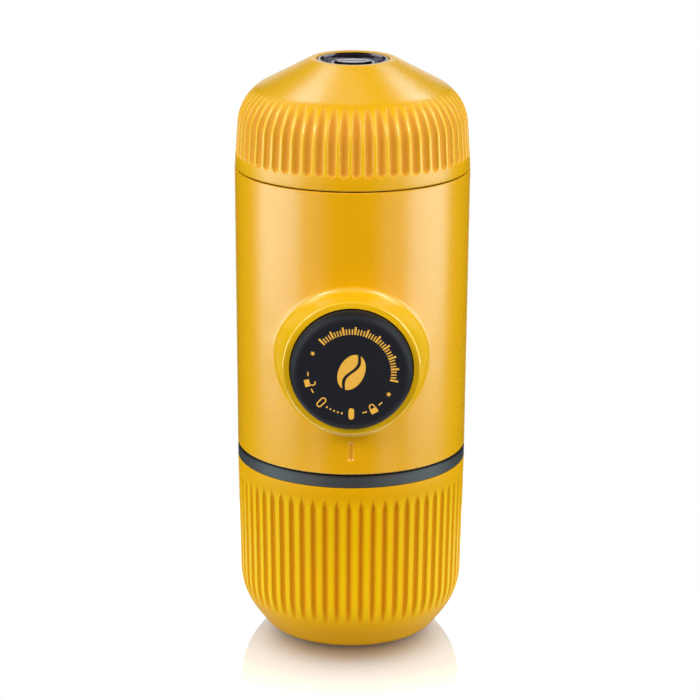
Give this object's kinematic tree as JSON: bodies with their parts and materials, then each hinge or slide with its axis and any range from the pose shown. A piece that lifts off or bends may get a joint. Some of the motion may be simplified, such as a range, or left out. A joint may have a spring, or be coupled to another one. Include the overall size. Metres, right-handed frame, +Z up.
{
  "type": "handheld manual espresso maker",
  "caption": "Pocket espresso maker with a thumb piston on its front, a ribbed water tank below and a ribbed dome above that lifts off as the cup.",
  "frame": {"origin": "on the long axis, at the flat face the water tank stands on", "axes": "+Z up the long axis from the tank to the cup, -Y out of the piston on the front"},
  "size_m": [0.062, 0.071, 0.156],
  "materials": {
    "yellow_shell": "fine satin texture",
    "dark_chrome": "dark chrome plating",
    "grey_ring": "satin dark grey",
    "soft_black": "soft matt black with printed marks",
    "black_plastic": "fine matt texture",
    "pump_plastic": "natural white engineering plastic",
    "silicone": "matt silicone",
    "steel": "fine brushed"
  },
  "bodies": {
    "main_body": {"body_shell": "yellow_shell", "piston_wiper": "silicone", "lock_ring": "black_plastic", "pump_cylinder": "steel", "rod_bush": "pump_plastic", "pump_frame": "black_plastic", "valve_block": "pump_plastic", "chamber_seal": "silicone", "tie_bolts": "steel", "inlet_seat": "pump_plastic", "inlet_spring": "steel", "inlet_retainer": "pump_plastic", "outlet_seat": "pump_plastic", "outlet_spring": "steel", "delivery_bush": "silicone", "intake_bush": "silicone", "brew_head": "black_plastic", "brew_head_screws": "steel", "shower_screen": "steel", "shower_screw": "steel", "head_gasket": "silicone", "cup_seal": "silicone", "tank_neck": "black_plastic", "neck_screws": "steel", "intake_strainer": "steel", "vent_tube": "black_plastic", "vent_duckbill": "silicone", "piston_spring": "steel"},
    "cup": {"cup_shell": "yellow_shell", "cup_badge": "dark_chrome"},
    "basket": {"filter_basket": "steel"},
    "holder": {"coffee_holder": "black_plastic", "outlet_nozzle": "steel"},
    "spring_follower": {"spring_seat": "pump_plastic"},
    "piston": {"piston_cap": "soft_black", "piston_rod": "steel", "piston_head": "pump_plastic", "piston_o_ring": "silicone"},
    "inlet_valve": {"inlet_ball": "steel"},
    "outlet_valve": {"outlet_ball": "steel"},
    "gasket": {"tank_gasket": "silicone"},
    "tank": {"tank_shell": "yellow_shell", "tank_ring": "grey_ring"}
  },
  "joints": [
    {"name": "cup_lift", "type": "slide", "parent": "main_body", "child": "cup", "axis": [0, 0, 1], "range_m": [0, 0.045]},
    {"name": "holder_lift", "type": "slide", "parent": "main_body", "child": "basket", "axis": [0, 0, 1], "range_m": [0, 0.008]},
    {"name": "holder_turn", "type": "hinge", "parent": "basket", "child": "holder", "pos_m": [0, 0, 0.125], "axis": [0, 0, 1], "range_deg": [0, 720]},
    {"name": "piston_stroke", "type": "slide", "parent": "main_body", "child": "spring_follower", "axis": [0, -1, 0], "range_m": [0, 0.02], "deforming": ["piston_spring"]},
    {"name": "piston_turn", "type": "hinge", "parent": "spring_follower", "child": "piston", "pos_m": [0, -0.03, 0.0825], "axis": [0, -1, 0], "range_deg": [0, 45]},
    {"name": "inlet_valve_lift", "type": "slide", "parent": "main_body", "child": "inlet_valve", "axis": [0, 0, 1], "range_m": [0, 0.0012], "stiffness_N_per_m": 60, "springref_m": -0.002, "deforming": ["inlet_spring"]},
    {"name": "outlet_valve_lift", "type": "slide", "parent": "main_body", "child": "outlet_valve", "axis": [0, 0, 1], "range_m": [0, 0.0012], "stiffness_N_per_m": 60, "springref_m": -0.002, "deforming": ["outlet_spring"]},
    {"name": "tank_drop", "type": "slide", "parent": "main_body", "child": "gasket", "axis": [0, 0, -1], "range_m": [0, 0.008]},
    {"name": "tank_turn", "type": "hinge", "parent": "gasket", "child": "tank", "pos_m": [0, 0, 0.045], "axis": [0, 0, -1], "range_deg": [0, 720]}
  ],
  "couplings": [
    {"joint": "holder_lift", "follows": "holder_turn", "m_per_rad": 0.0006366},
    {"joint": "tank_drop", "follows": "tank_turn", "m_per_rad": 0.0006366}
  ]
}
